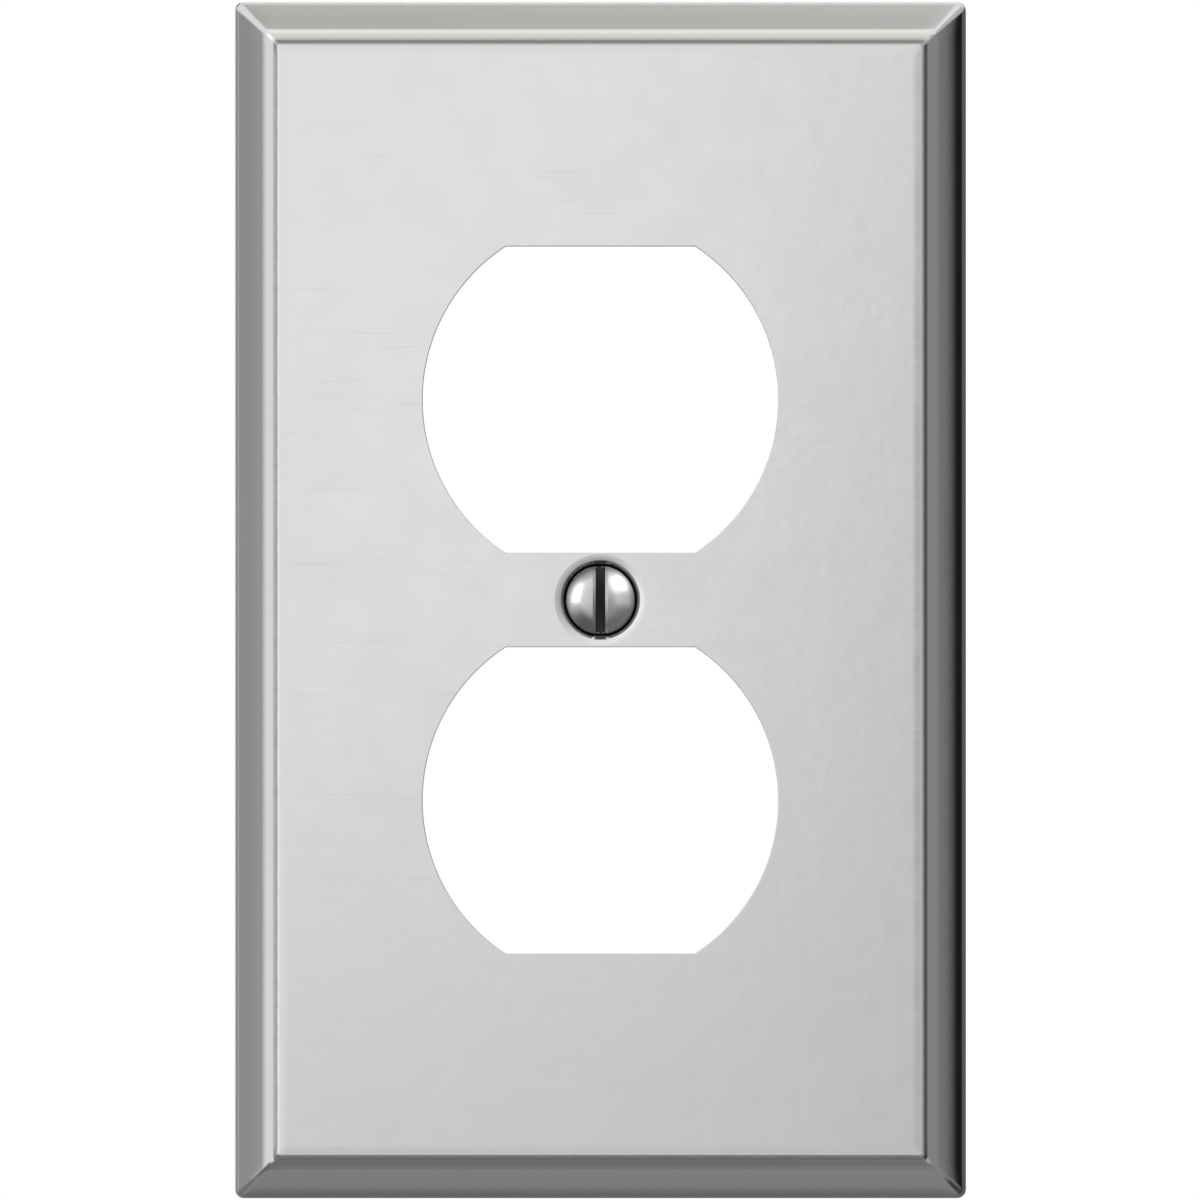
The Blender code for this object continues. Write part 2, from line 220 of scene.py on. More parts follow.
def surface_object(name, patches):
    """One mesh from grids of points, whose shared borders are welded. Each grid is (points, closed round its
    rows or not, marks), where marks says how far a row is inside, how much painted shade it gets and how far
    it is on an edge."""
    points, faces, marks, start = [], [], [], 0
    for grid, closed, mark in patches:
        index = start + np.arange(grid.shape[0] * grid.shape[1]).reshape(grid.shape[:2])
        index = np.hstack([index, index[:, :1]]) if closed else index
        quads = [index[:-1, :-1], index[:-1, 1:], index[1:, 1:], index[1:, :-1]]
        faces.append(np.stack(quads, -1).reshape(-1, 4))
        mark = np.asarray(mark, float)
        mark = mark[:, None, :] if mark.ndim == 2 else mark
        marks.append(np.broadcast_to(mark, grid.shape).reshape(-1, 3))
        points.append(grid.reshape(-1, 3))
        start += grid.shape[0] * grid.shape[1]
    mesh = bpy.data.meshes.new(name)
    mesh.from_pydata(np.vstack(points), [], np.vstack(faces))
    mesh.attributes.new("marks", "FLOAT_VECTOR", "POINT").data.foreach_set("vector", np.vstack(marks).ravel())
    shape = bmesh.new()
    shape.from_mesh(mesh)
    bmesh.ops.remove_doubles(shape, verts=shape.verts, dist=WELD)
    bmesh.ops.recalc_face_normals(shape, faces=shape.faces)
    shape.to_mesh(mesh)
    shape.free()
    mesh.shade_smooth()
    mesh.set_sharp_from_angle(angle=SHARP_ANGLE)
    piece = bpy.data.objects.new(name, mesh)
    bpy.context.scene.collection.objects.link(piece)
    return piece


def both_halves(grid):
    """A grid of the upper half, and its mirror image in the lower half."""
    return [grid, grid * [1, 1, -1]]


def rim_patch():
    """The sheet's section, from the face out over the bevel, round the cut edge and back in, carried round
    the plate. The bevel's line is bent at its middle and rounded wide, which crowns it. Bell curves mark worn
    edges and, on the top side only, a painted shade: a dark line along the crease at the foot of the step."""
    bevel_top = (BEVEL_RUN, -face_y - STEP_RISE - LEDGE_RISE)
    ledge_end = (BEVEL_RUN + LEDGE_RUN, -face_y - STEP_RISE)
    face_edge = (ledge_end[0] + STEP_RUN, -face_y)
    corners = [(0, 0), (0, EDGE_HEIGHT), bevel_top, ledge_end, face_edge, (PANEL_INSET, -face_y)]
    corners = np.array(corners)
    bevel = corners[2] - corners[1]
    outward = np.array([-bevel[1], bevel[0]]) / np.hypot(*bevel)
    crown = (corners[1] + corners[2]) / 2 + outward * 2 * BEVEL_CROWN
    crowned = np.insert(corners, 2, crown, axis=0)
    foot = np.array([(SHEET / 2, 0.0)])
    outer_rounds = [CUT_ROUND, OUTER_ROUND, CROWN_ROUND, BEVEL_ROUND, LEDGE_ROUND, FACE_ROUND]
    outer = rounded(np.vstack([foot, crowned]), outer_rounds, ARC_STEPS)
    inside = moved_aside(corners, SHEET)
    inside[-1] = (PANEL_INSET, -back_y)
    inner_rounds = [CUT_ROUND, BACK_ROUND, BACK_ROUND, LEDGE_BACK_ROUND, BACK_ROUND]
    inner = rounded(np.vstack([foot, inside]), inner_rounds)

    strip = np.vstack([outer[::-1], inner])
    inset = strip[:, 0]
    narrowing = np.interp(outer[::-1, 0], [0, BEVEL_RUN], [OUTER_CORNER, PANEL_CORNER])
    radii = np.append(narrowing, np.full(len(inner), INNER_CORNER))
    signs, facing = (np.vstack([half, half[-2:0:-1] * [1, -1]]) for half in upper_half_path())
    within = np.append(np.zeros(len(outer)), np.ones(len(inner)))
    wear = np.exp(-(((inset - face_edge[0]) / FACE_WEAR) ** 2)) + np.exp(-((inset / FOOT_WEAR) ** 2))
    edge = (np.clip(wear, 0, 1) * (1 - within))[:, None]
    # Painted shade: a dark line along the foot of the step, on the top side only.
    up = np.maximum(facing[:, 1], 0)
    from_foot = (inset[:, None] - ledge_end[0] - PAINTED_FOOT_SHADE_OFFSET) / PAINTED_FOOT_SHADE_WIDTH
    painted_shade_mask = PAINTED_FOOT_SHADE * up * np.exp(-(from_foot**2)) * (1 - within[:, None])
    marks = np.stack(np.broadcast_arrays(within[:, None], painted_shade_mask, edge), axis=-1)
    return rim_rows((signs, facing), inset, -strip[:, 1], radii), True, marks


def wall_patches():
    """The walls of both openings: the outline comes in from the face over a small roll, goes straight through
    the sheet, and out over the same roll at the back."""
    roll = np.linspace(0, math.pi / 2, ROLL_POINTS)
    grow = PUNCH_ROLL * (1 - np.sin(roll))
    drop = PUNCH_ROLL * (1 - np.cos(roll))
    grow, depth = np.append(grow, grow[::-1]), np.append(face_y + drop, back_y - drop[::-1])
    wall = np.stack([opening_loop(out, y) for out, y in zip(grow, depth)])
    within = np.linspace(0, 1, 2 * ROLL_POINTS)
    front_edge = np.append(np.ones(ROLL_POINTS), np.zeros(ROLL_POINTS))
    marks = np.column_stack([within, 0 * within, front_edge])
    return [(half, True, marks) for half in both_halves(wall)]


def dimple_patch():
    """The screw's seat as a profile turned about its axis: a shallow dish, the cone down to the hole, and
    back up outside the cone as a boss. It also gives the radius where it meets the face and the back."""
    dish_corner = DISH_RADIUS - DISH_ROUND * math.tan(DISH_ANGLE / 2)
    dish_depth = (dish_corner - SEAT_MOUTH) / (1 / math.tan(DISH_ANGLE) - CONE_SLOPE)
    mouth = (SEAT_MOUTH - CONE_SLOPE * dish_depth, face_y + dish_depth)
    boss = SEAT_HOLE + SHEET / CONE_LEAN
    root = boss + (seat_end_y - back_y) * CONE_SLOPE
    front_hole, back_hole = DISH_RADIUS + GUARD, root + ROOT_MARGIN + 2 * GUARD
    corners = [(front_hole, face_y), (dish_corner, face_y), mouth, (SEAT_HOLE, seat_end_y)]
    corners += [(boss, seat_end_y), (root, back_y), (back_hole, back_y)]
    profile = rounded(corners, [DISH_ROUND, MOUTH_ROUND, HOLE_ROUND, BOSS_ROUND, BACK_ROUND], ARC_STEPS)
    hole_bend = 1 + 2 * (ARC_STEPS + 1) + ARC_STEPS // 2
    behind = (np.arange(len(profile)) > hole_bend).astype(float)
    # Painted shade: the seat's cone is darkened below the dish, in front only.
    painted_seat_shade = np.clip((profile[:, 1] - face_y - dish_depth) / CONE_SHADE, 0, 1) * (1 - behind)
    marks = np.column_stack([behind, painted_seat_shade, 0 * painted_seat_shade])
    return (turned(profile), True, marks), front_hole, back_hole


def plate_patches():
    """The rim's strip, the dimple, the two faces of the panel and the walls of the openings."""
    dimple, front_hole, back_hole = dimple_patch()
    front = panel_rows(face_y, front_hole, PANEL_CORNER, PUNCH_ROLL)
    back = panel_rows(back_y, back_hole, INNER_CORNER, PUNCH_ROLL)
    patches = [rim_patch(), dimple]
    patches += [(half, True, np.zeros((len(front), 3))) for half in both_halves(front)]
    patches += [(half, True, np.tile([1.0, 0, 0], (len(back), 1))) for half in both_halves(back)]
    return patches + wall_patches()


cover_plate = surface_object("pressed_cover_plate", plate_patches())


class Nodes:
    """Adds nodes to a tree. Each call makes one node, sets its sockets or links them, and gives its first
    output."""

    def __init__(self, tree):
        self.tree = tree

    def add(self, kind, inputs=(), output=0, **settings):
        made = self.tree.nodes.new(kind)
        for name, value in settings.items():
            setattr(made, name, value)
        for name, value in dict(inputs).items():
            if isinstance(value, bpy.types.NodeSocket):
                self.tree.links.new(value, made.inputs[name])
            else:
                made.inputs[name].default_value = value
        return made.outputs[output]

    def math(self, operation, first, second=0.0, clamp=False):
        return self.add("ShaderNodeMath", {0: first, 1: second}, operation=operation, use_clamp=clamp)

    def spread(self, value, low, high, new_low=0.0, new_high=1.0):
        """The value taken smoothly from one range to another, and held at its ends."""
        ranges = {"Value": value, "From Min": low, "From Max": high, "To Min": new_low, "To Max": new_high}
        return self.add("ShaderNodeMapRange", ranges, interpolation_type="SMOOTHSTEP")

    def blend(self, amount, first, second):
        return self.add("ShaderNodeMix", {0: amount, 6: first, 7: second}, 2, data_type="RGBA")

    def noise(self, place, scale, detail=3.0, roughness=0.5):
        inputs = {"Vector": place, "Scale": scale, "Detail": detail, "Roughness": roughness}
        return self.add("ShaderNodeTexNoise", inputs)


CLOUD_SCALE = 170.0
CLOUD_SHADE = 0.965
PEEL_SCALE = 420.0
GRAIN_SCALE = 2600.0
WEAR_SCALE = 900.0
HAIR_SCALE = 60.0
HAIR_STRETCH = (2.2, 1.0, 90.0)
HAIR_LEAN = 0.5
WEAR_TINT = 0.35
INSIDE_TINT = 0.9
GRAIN_SKIN = 0.08
GRAIN_INSIDE = 1.2
HAIR_HAZE = 0.03
WEAR_HAZE = 0.07
INSIDE_HAZE = 0.2
PAINTED_SHADE_HAZE = 0.35


def plated_metal(name, bright, dull, painted_shade, gloss, peel):
    """Bright plating: cloudy colour and gloss, an orange-peel skin, hairlines from wiping, duller worn edges,
    a dull inside, and painted shade in creases and recesses and on the screw head's rim, in the painted
    shade colour. The marks on the mesh say where those are."""
    material = bpy.data.materials.new(name)
    material.use_nodes = True
    nodes = Nodes(material.node_tree)
    shader = material.node_tree.nodes["Principled BSDF"]
    place = nodes.add("ShaderNodeTexCoord", output=3)
    marks = material.node_tree.nodes.new("ShaderNodeAttribute")
    marks.attribute_name = "marks"
    split = nodes.add("ShaderNodeSeparateXYZ", {0: marks.outputs["Vector"]}).node
    inside, painted_shade_mask, edge = split.outputs
    clouds = nodes.noise(place, CLOUD_SCALE, 4.0)
    grain = nodes.noise(place, GRAIN_SCALE, 2.0)
    hair_mapping = {0: place, "Scale": HAIR_STRETCH, "Rotation": (0, HAIR_LEAN, 0)}
    hair_place = nodes.add("ShaderNodeMapping", hair_mapping)
    hairs = nodes.spread(nodes.noise(hair_place, HAIR_SCALE, 2.0), 0.62, 0.7)
    worn = nodes.math("MULTIPLY", edge, nodes.spread(nodes.noise(place, WEAR_SCALE), 0.35, 0.7))

    shaded = tuple(CLOUD_SHADE * channel for channel in bright[:3]) + (1.0,)
    colour = nodes.blend(clouds, shaded, bright)
    colour = nodes.blend(nodes.math("MULTIPLY", worn, WEAR_TINT), colour, dull)
    within = nodes.math("MULTIPLY", inside, INSIDE_TINT)
    colour = nodes.blend(within, colour, nodes.blend(clouds, dull, bright))
    # Painted shade: where the second mark says so, the colour goes to the shade colour.
    colour = nodes.blend(painted_shade_mask, colour, painted_shade)
    material.node_tree.links.new(colour, shader.inputs["Base Color"])

    rough = nodes.spread(clouds, 0.3, 0.7, gloss * 0.85, gloss * 1.2)
    rough = nodes.math("ADD", rough, nodes.math("MULTIPLY", hairs, HAIR_HAZE))
    rough = nodes.math("ADD", rough, nodes.math("MULTIPLY", worn, WEAR_HAZE))
    rough = nodes.math("ADD", rough, nodes.math("MULTIPLY", inside, INSIDE_HAZE))
    rough = nodes.math("ADD", rough, nodes.math("MULTIPLY", painted_shade_mask, PAINTED_SHADE_HAZE), clamp=True)
    material.node_tree.links.new(rough, shader.inputs["Roughness"])

    skin = nodes.noise(place, PEEL_SCALE, 2.0)
    height = nodes.math("ADD", skin, nodes.math("MULTIPLY", grain, GRAIN_SKIN))
    rasp = nodes.math("MULTIPLY", nodes.math("MULTIPLY", inside, grain), GRAIN_INSIDE)
    height = nodes.math("ADD", height, rasp)
    bump = nodes.add("ShaderNodeBump", {"Height": height, "Strength": 1.0, "Distance": peel})
    material.node_tree.links.new(bump, shader.inputs["Normal"])
    shader.inputs["Metallic"].default_value = 1.0
    return material


chrome = plated_metal(
    "polished_chrome",
    bright=(0.91, 0.91, 0.905, 1),
    dull=(0.6, 0.6, 0.59, 1),
    # The colour of the painted shade.
    painted_shade=(0.14, 0.14, 0.135, 1),
    gloss=0.08,
    peel=0.0000025,
)
cover_plate.data.materials.append(chrome)
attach(cover_plate, "plate")
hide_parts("cover_plate")

# ---- Mounting screw -------------------------------------------------------------------------------
# A slotted oval-head machine screw of steel: the head is cold formed and its slot is cut, the thread is
# rolled. It is plated like the plate. The bottom of the slot is unpolished and painted dark as shade, and
# painted shade also darkens the head's rim, the head's side and the thread's roots.
screw_low, screw_high = (np.array(corner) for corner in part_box("mounting_screw"))
head_radius = (screw_high - screw_low)[0] / 2
tip_y = screw_high[1]
HEAD_SINK = 0.3 * MM
HEAD_CROWN = 1.04 * MM
HEAD_LAND = 0.12 * MM
SCREW_RADIUS = 3.505 / 2 * MM
THREAD_ROOT = SCREW_RADIUS - 0.487 * MM
THREAD_PITCH = 25.4 / 32 * MM
THREAD_CREST = 1 / 8
THREAD_FADE = 0.6 * MM
NECK = 0.5 * MM
TIP_CHAMFER = 0.5 * MM
SLOT_HALF = 0.45 * MM
SLOT_DEPTH = 1.25 * MM
SLOT_CHAMFER = 0.28 * MM
SLOT_DROP = 0.22 * MM
SLOT_CORNER = 0.05 * MM
TIP_ROUND = 0.12 * MM
# Painted shade on the head's rim: its strength, the extra on one side, its width, the extra width there, and
# the side it leans to.
PAINTED_RIM_SHADE = 0.55
PAINTED_RIM_SHADE_MORE = 0.35
PAINTED_RIM_SHADE_WIDTH = 0.3 * MM
PAINTED_RIM_SHADE_WIDER = 0.8 * MM
PAINTED_RIM_SHADE_TOWARDS = (-0.57, 0.82)
# The head's side: a little duller, and a painted shade where it sits in the seat.
HEAD_SIDE_MARKS = [0.1, 0.25, 0.0]
THREAD_DULL = 0.25
# Painted shade in the thread's roots.
PAINTED_ROOT_SHADE = 0.45
edge_y = face_y + HEAD_SINK
crown_y = edge_y - HEAD_CROWN
land_y = edge_y + HEAD_LAND
cone_end_y = land_y + (head_radius - SCREW_RADIUS) / CONE_SLOPE
thread_y = cone_end_y + NECK
thread_end_y = tip_y - TIP_CHAMFER
dome_radius = (head_radius**2 + HEAD_CROWN**2) / (2 * HEAD_CROWN)


def head_side(y):
    """The head's radius at a height: the land, the cone under it, then the neck down to the thread's root."""
    return np.interp(y, [land_y, cone_end_y, thread_y], [head_radius, SCREW_RADIUS, THREAD_ROOT])


def crown_rows():
    """The crown as cuts side by side along the slot. A cut is at one x, runs in z from edge to edge of the
    head, and is the dome moved down by the cut's drop, or the slot's flat floor. The slot's floor and walls
    get painted shade, and so does the rim, more and wider on one side: its mark falls off evenly from the
    edge inwards."""
    outer = np.linspace(math.asin((SLOT_HALF + SLOT_CHAMFER) / head_radius), math.pi / 2, 32)
    x = [0, SLOT_HALF / 2, 0.9 * SLOT_HALF, SLOT_HALF, SLOT_HALF, 1.02 * SLOT_HALF]
    x = np.concatenate([x, head_radius * np.sin(outer)])
    drop = np.concatenate([np.zeros(4), [SLOT_DROP, 0.97 * SLOT_DROP], np.zeros(32)])
    floor = np.concatenate([np.ones(4), np.zeros(34)]).astype(bool)
    lift = np.concatenate([[0, 0, 0, SLOT_CORNER], np.zeros(34)])
    # Painted shade in the slot: full on its floor and walls, a quarter where the chamfer begins.
    painted_shade = np.concatenate([np.ones(5), [0.25], np.zeros(32)])
    x = np.append(-x[:0:-1], x)
    drop, floor, lift, painted_shade = (np.append(values[:0:-1], values) for values in (drop, floor, lift, painted_shade))
    floor_y = crown_y + SLOT_DEPTH - lift
    end_radius = head_side(np.where(floor, floor_y, edge_y + drop))
    end_z = np.sqrt(np.maximum(end_radius**2 - x**2, 0))
    z = end_z[:, None] * np.linspace(-1, 1, 81)
    dome = crown_y + dome_radius - np.sqrt(dome_radius**2 - x[:, None] ** 2 - z**2)
    y = np.where(floor[:, None], floor_y[:, None], dome + drop[:, None])
    out = np.hypot(x[:, None], z)
    # Painted shade on the rim, more and wider on one side.
    toward = PAINTED_RIM_SHADE_TOWARDS[1] * z + PAINTED_RIM_SHADE_TOWARDS[0] * x[:, None]
    side = np.clip(toward / np.maximum(out, GUARD), 0, 1) ** 2
    reach = PAINTED_RIM_SHADE_WIDTH + PAINTED_RIM_SHADE_WIDER * side
    painted_rim_shade = (PAINTED_RIM_SHADE + PAINTED_RIM_SHADE_MORE * side) * np.clip(1 - (head_radius - out) / reach, 0, 1)
    painted_shade = np.maximum(painted_shade[:, None], painted_rim_shade)
    return np.stack([x[:, None] + 0 * z, y, z], axis=-1), np.stack([0 * painted_shade, painted_shade, 0 * painted_shade], axis=-1)


def head_rows(crown):
    """The head's side: each column starts on the crown's border, and turns evenly spaced on its way down the
    cone. It also gives the evenly spaced turns."""
    border = np.vstack([crown[:, -1], crown[-2:0:-1, 0]])
    turn = np.unwrap(np.arctan2(border[:, 2], border[:, 0]))
    even = math.pi - 2 * math.pi * np.arange(len(border)) / len(border)
    turn = turn + 2 * math.pi * np.round((even[0] - turn[0]) / (2 * math.pi))
    cone, neck = np.linspace(land_y, cone_end_y, 9), np.linspace(cone_end_y, thread_y, 5)
    levels = np.concatenate([cone, neck[1:]])
    y = np.maximum(levels[:, None], border[:, 1])
    share = np.clip((levels - land_y) / (cone_end_y - land_y), 0, 1)[:, None]
    angle = turn * (1 - share) + even * share
    below = np.stack([head_side(y) * np.cos(angle), y, head_side(y) * np.sin(angle)], axis=-1)
    return np.concatenate([border[None], below]), even


def thread_rows(even):
    """The thread's flanks as a sheet that climbs one pitch a turn and is held at the thread's two ends. Its
    radius is the root's plus a depth that rises evenly to the crest and fades at the ends."""
    form = np.array([0, 0.1, 0.2, 0.32, 0.4375, 0.5, 0.5625, 0.68, 0.8, 0.9])
    turns = math.ceil((thread_end_y - thread_y) / THREAD_PITCH)
    share = (np.arange(-1, turns + 1)[:, None] + form).ravel()[:, None]
    around = np.linspace(0, 1, len(even) + 1)
    y = np.clip(thread_y + (share + around) * THREAD_PITCH, thread_y, thread_end_y)
    fade = np.clip(np.minimum(y - thread_y, thread_end_y - y) / THREAD_FADE, 0, 1)
    depth = np.clip((1 - np.abs(2 * (share % 1) - 1)) / (1 - THREAD_CREST), 0, 1)
    radius = THREAD_ROOT + (SCREW_RADIUS - THREAD_ROOT) * depth * fade
    angle = math.pi - 2 * math.pi * around
    return np.stack([radius * np.cos(angle), y, radius * np.sin(angle)], axis=-1), depth


crown, crown_marks = crown_rows()
head, even_turn = head_rows(crown)
thread, thread_depth = thread_rows(even_turn)
tip_corners = [(THREAD_ROOT, thread_end_y), (THREAD_ROOT - TIP_CHAMFER, tip_y), (0, tip_y)]
tip_profile = rounded(tip_corners, [TIP_ROUND])
tip_radius, tip_level = tip_profile[:, :1], tip_profile[:, 1:] + 0 * even_turn
tip = np.stack([tip_radius * np.cos(even_turn), tip_level, tip_radius * np.sin(even_turn)], axis=-1)
thread_marks = [THREAD_DULL + 0 * thread_depth, PAINTED_ROOT_SHADE * (1 - thread_depth), 0 * thread_depth]
screw_patches = [
    (crown, False, crown_marks),
    (head, True, np.tile(HEAD_SIDE_MARKS, (len(head), 1))),
    (thread, False, np.stack(thread_marks, axis=-1)),
    (tip, True, np.tile([THREAD_DULL, 0.0, 0.0], (len(tip), 1))),
]
mounting_screw = surface_object("slotted_oval_head_screw", screw_patches)
screw_plating = plated_metal(
    "plated_screw_steel",
    bright=(0.62, 0.62, 0.625, 1),
    dull=(0.45, 0.45, 0.45, 1),
    # The colour of the painted shade.
    painted_shade=(0.05, 0.05, 0.05, 1),
    gloss=0.24,
    peel=0.0000012,
)
mounting_screw.data.materials.append(screw_plating)
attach(mounting_screw, "screw")
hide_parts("mounting_screw")

# ---- Retaining washer -----------------------------------------------------------------------------
# A small natural nylon ring, punched from sheet, pushed over the thread behind the plate so that the screw
# can't fall out of it. Its edges are slightly rounded and its faces keep a fine matt grain.
washer_low, washer_high = (np.array(corner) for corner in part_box("retaining_washer"))
washer_radius = (washer_high - washer_low)[0] / 2
WASHER_BORE = SCREW_RADIUS + 0.1 * MM
WASHER_ROUND = 0.12 * MM
washer_front, washer_back = washer_low[1], washer_high[1]
middle_radius = (WASHER_BORE + washer_radius) / 2
washer_section = [(middle_radius, washer_front), (washer_radius, washer_front), (washer_radius, washer_back)]
washer_section += [(WASHER_BORE, washer_back), (WASHER_BORE, washer_front), (middle_radius, washer_front)]
washer_rows = turned(rounded(washer_section, [WASHER_ROUND] * 4), 128)
washer = surface_object("nylon_retaining_washer", [(washer_rows, True, np.zeros((len(washer_rows), 3)))])


def nylon():
    """Natural nylon: warm translucent white with faint clouds, a satin skin and the sheet's fine grain."""
    material = bpy.data.materials.new("natural_nylon")
    material.use_nodes = True
    nodes = Nodes(material.node_tree)
    shader = material.node_tree.nodes["Principled BSDF"]
    place = nodes.add("ShaderNodeTexCoord", output=3)
    clouds = nodes.noise(place, 500.0)
    colour = nodes.blend(clouds, (0.74, 0.71, 0.63, 1), (0.86, 0.84, 0.79, 1))
    rough = nodes.spread(nodes.noise(place, 2500.0), 0.3, 0.7, 0.36, 0.52)
    bump = nodes.add("ShaderNodeBump", {"Height": nodes.noise(place, 5000.0), "Distance": 0.00001})
    for socket, output in (("Base Color", colour), ("Roughness", rough), ("Normal", bump)):
        material.node_tree.links.new(output, shader.inputs[socket])
    shader.inputs["Subsurface Weight"].default_value = 0.25
    shader.inputs["Subsurface Radius"].default_value = (0.0008, 0.0007, 0.0005)
    shader.inputs["Subsurface Scale"].default_value = 1.0
    return material


washer.data.materials.append(nylon())
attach(washer, "retainer")
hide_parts("retaining_washer")

# ---- Studio ---------------------------------------------------------------------------------------
# A soft light tent: its walls differ in brightness, which is what bright plating shows. Three small soft
# boxes light the screw's head. The floor is pale and lies well below the plate.
FLOOR_DROP = 0.25
FLOOR_RADIUS = 2.5
spokes = np.linspace(0, 2 * math.pi, 129)[:-1]
rings = np.linspace(0, FLOOR_RADIUS, 6)[:, None]
floor_level = -FLOOR_DROP + 0 * rings * spokes
floor_rows = np.stack([rings * np.cos(spokes), rings * np.sin(spokes), floor_level], axis=-1)
floor = surface_object("floor", [(floor_rows, True, np.zeros((len(floor_rows), 3)))])
floor_paint = bpy.data.materials.new("pale_floor")
floor_paint.use_nodes = True
floor_shader = floor_paint.node_tree.nodes["Principled BSDF"]
floor_nodes = Nodes(floor_paint.node_tree)
floor_clouds = floor_nodes.noise(floor_nodes.add("ShaderNodeTexCoord", output=3), 3.0)
floor_colour = floor_nodes.blend(floor_clouds, (0.84, 0.84, 0.84, 1), (0.88, 0.88, 0.88, 1))
floor_paint.node_tree.links.new(floor_colour, floor_shader.inputs["Base Color"])
floor_shader.inputs["Roughness"].default_value = 0.9
floor_shader.inputs["Emission Color"].default_value = (1, 1, 1, 1)
floor_shader.inputs["Emission Strength"].default_value = 0.5
floor.data.materials.append(floor_paint)
floor.visible_glossy = False

# Each wall's brightness by the angle off the line towards the viewer: degrees, and a grey from 0 to 255
WALLS = {
    "right": [
        (0, 227), (0.5, 214), (0.8, 197), (1.2, 180), (1.7, 152), (4, 178), (12, 182), (25, 167),
        (39, 155), (46, 128), (72, 130), (86, 120), (92, 106), (96, 94), (100, 76), (103, 48),
        (106, 22), (111, 24), (118, 92), (126, 80), (150, 98), (180, 50),
    ],
    "top": [
        (0, 227), (0.6, 233), (1.2, 230), (1.8, 224), (25, 228), (40, 220), (46, 206), (52, 207),
        (61, 214), (70, 232), (79, 227), (84, 196), (88, 170), (93, 165), (100, 170), (110, 174),
        (117, 175), (124, 200), (148, 226), (180, 220),
    ],
    "left": [
        (0, 227), (0.9, 226), (1.8, 220), (12, 224), (28, 238), (38, 238), (46, 210), (55, 214),
        (64, 212), (73, 198), (81, 174), (88, 146), (96, 140), (108, 138), (115.5, 142), (117, 192),
        (119, 192), (120.5, 142), (135, 138), (152, 170), (170, 236), (180, 240),
    ],
    "bottom": [
        (0, 227), (0.8, 213), (1.3, 197), (1.8, 190), (12, 188), (24, 171), (38, 152), (46, 110),
        (54, 112), (63, 124), (80, 125), (98, 125), (105, 118), (110, 104), (118, 100), (145, 104),
        (180, 90),
    ],
}
# Where two walls meet: the angle round the line to the viewer, from the right towards the top, and its half
# width, the angles off that line between which it lies, and its grey
CORNERS = [
    (56, 24, 50, 140, 222), (30, 14, 62, 122, 176), (135, 24, 34, 56, 252), (135, 24, 56, 140, 216),
    (135, 14, 138, 170, 90), (238, 26, 40, 78, 100), (225, 14, 78, 125, 110), (315, 14, 80, 112, 60),
]
CORNER_CORE = 0.5
CORNER_FRINGE = 1.6
CORNER_FADE = 5
TOP_WARMTH = 0.965
TOP_WARM_FROM = 20
PLATING_LOSS = 0.9


def tent_light(grey):
    """The light that bright plating returns as this display grey."""
    value = grey / 255
    return (((value + 0.055) / 1.055) ** 2.4 if value > 0.04045 else value / 12.92) / PLATING_LOSS


world = bpy.data.worlds.new("light_tent")
bpy.context.scene.world = world
world.use_nodes = True
world.node_tree.nodes.clear()
tent = Nodes(world.node_tree)
direction = tent.add("ShaderNodeTexCoord")
direction = tent.add("ShaderNodeVectorMath", {0: direction}, operation="NORMALIZE")
split = tent.add("ShaderNodeSeparateXYZ", {0: direction}).node.outputs
off_axis = tent.math("DIVIDE", tent.math("ARCCOSINE", tent.math("MULTIPLY", split[1], -1.0)), math.pi)
squares = [tent.math("POWER", axis, 2.0) for axis in (split[0], split[2])]
across = tent.math("POWER", tent.math("ADD", *squares), 0.5)
across = tent.math("MAXIMUM", across, 0.0001)
sides = {
    "right": (split[0], 1.0),
    "top": (split[2], 1.0),
    "left": (split[0], -1.0),
    "bottom": (split[2], -1.0),
}
total = None
for side, (axis, sign) in sides.items():
    toward = tent.math("DIVIDE", tent.math("MULTIPLY", axis, sign), across)
    weight = tent.math("POWER", tent.math("MAXIMUM", toward, 0.0), 2.0)
    ramp = tent.add("ShaderNodeValToRGB", {0: off_axis}).node
    stops = WALLS[side]
    for number, (angle, grey) in enumerate(stops):
        stop = ramp.color_ramp.elements[number] if number < 2 else ramp.color_ramp.elements.new(angle / 180)
        stop.position = angle / 180
        light = tent_light(grey)
        warmth = TOP_WARMTH if side == "top" and angle > TOP_WARM_FROM else 1.0
        stop.color = (light, light, light * warmth, 1)
        if number == 0:
            ramp.color_ramp.elements[1].position = 1.0
    lit = tent.add("ShaderNodeVectorMath", {0: ramp.outputs[0], "Scale": weight}, operation="SCALE")
    total = lit if total is None else tent.add("ShaderNodeVectorMath", {0: total, 1: lit}, operation="ADD")
for roll, half_width, nearest, furthest, grey in CORNERS:
    roll, half_width = math.radians(roll), math.radians(half_width)
    facing = tent.math("MULTIPLY", split[0], math.cos(roll))
    facing = tent.math("ADD", facing, tent.math("MULTIPLY", split[2], math.sin(roll)))
    facing = tent.math("DIVIDE", facing, across)
    mask = tent.spread(facing, math.cos(CORNER_FRINGE * half_width), math.cos(CORNER_CORE * half_width))
    begins = tent.spread(off_axis, (nearest - CORNER_FADE) / 180, (nearest + CORNER_FADE) / 180)
    mask = tent.math("MULTIPLY", mask, begins)
    ends = tent.spread(off_axis, (furthest - CORNER_FADE) / 180, (furthest + CORNER_FADE) / 180, 1.0, 0.0)
    mask = tent.math("MULTIPLY", mask, ends)
    total = tent.blend(mask, total, (tent_light(grey),) * 3 + (1,))
tent_shader = tent.add("ShaderNodeBackground", {"Color": total, "Strength": 1.0})
white_shader = tent.add("ShaderNodeBackground", {"Color": (1, 1, 1, 1), "Strength": 1.0})
seen = tent.add("ShaderNodeLightPath")
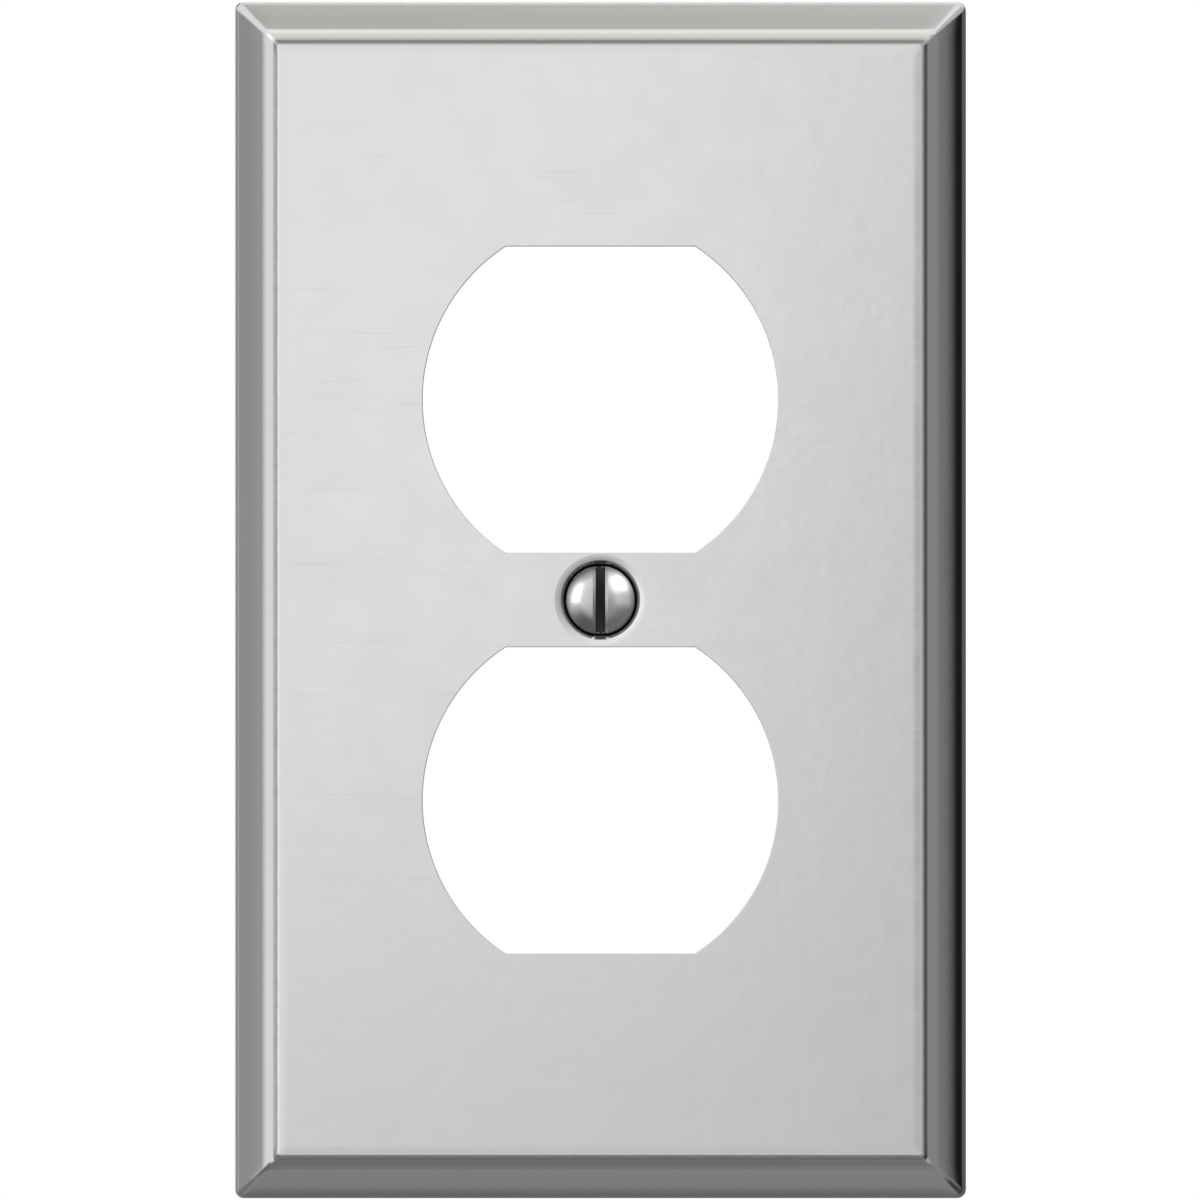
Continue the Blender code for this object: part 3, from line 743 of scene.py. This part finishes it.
mixed = tent.add("ShaderNodeMixShader", {0: seen, 1: tent_shader, 2: white_shader})
tent_output = world.node_tree.nodes.new("ShaderNodeOutputWorld")
world.node_tree.links.new(mixed, tent_output.inputs["Surface"])

head_lights = bpy.data.collections.new("lit_by_soft_boxes")
head_lights.objects.link(mounting_screw)
# Azimuth, elevation, width and height in degrees, seen from the screw, and the radiance
SOFT_BOXES = {
    "left_soft_box": (-50, 15, 18, 38, 2.2),
    "right_soft_box": (42, 31, 31, 28, 2.2),
    "right_fill": (44, 3, 34, 26, 0.5),
}
SOFT_BOX_DISTANCE = 0.35
for name, (azimuth, elevation, width, height, radiance) in SOFT_BOXES.items():
    light = bpy.data.lights.new(name, "AREA")
    light.shape = "RECTANGLE"
    light.size = 2 * SOFT_BOX_DISTANCE * math.tan(math.radians(width / 2))
    light.size_y = 2 * SOFT_BOX_DISTANCE * math.tan(math.radians(height / 2))
    light.energy = radiance * math.pi * light.size * light.size_y
    box = bpy.data.objects.new(name, light)
    bpy.context.scene.collection.objects.link(box)
    turn, rise = math.radians(azimuth), math.radians(elevation)
    toward = Vector((math.sin(turn) * math.cos(rise), -math.cos(turn) * math.cos(rise), math.sin(rise)))
    box.location = toward * SOFT_BOX_DISTANCE
    box.rotation_euler = toward.to_track_quat("Z", "Y").to_euler()
    box.light_linking.receiver_collection = head_lights

CAMERA_DISTANCE = 2.0
CAMERA_ASIDE = -0.04 * MM
SENSOR_WIDTH = 36
FRAME_MARGIN = 1.00335
camera_data = bpy.data.cameras.new("front_camera")
camera = bpy.data.objects.new("front_camera", camera_data)
bpy.context.scene.collection.objects.link(camera)
camera.location = (CAMERA_ASIDE, -CAMERA_DISTANCE, 0)
camera.rotation_euler = (math.pi / 2, 0, 0)
camera_data.sensor_width = SENSOR_WIDTH
camera_data.lens = SENSOR_WIDTH * CAMERA_DISTANCE / (2 * plate_half[1] * FRAME_MARGIN)
camera_data.clip_start = 0.01
bpy.context.scene.camera = camera
bpy.context.scene.view_settings.view_transform = "Standard"

bpy.context.view_layer.update()
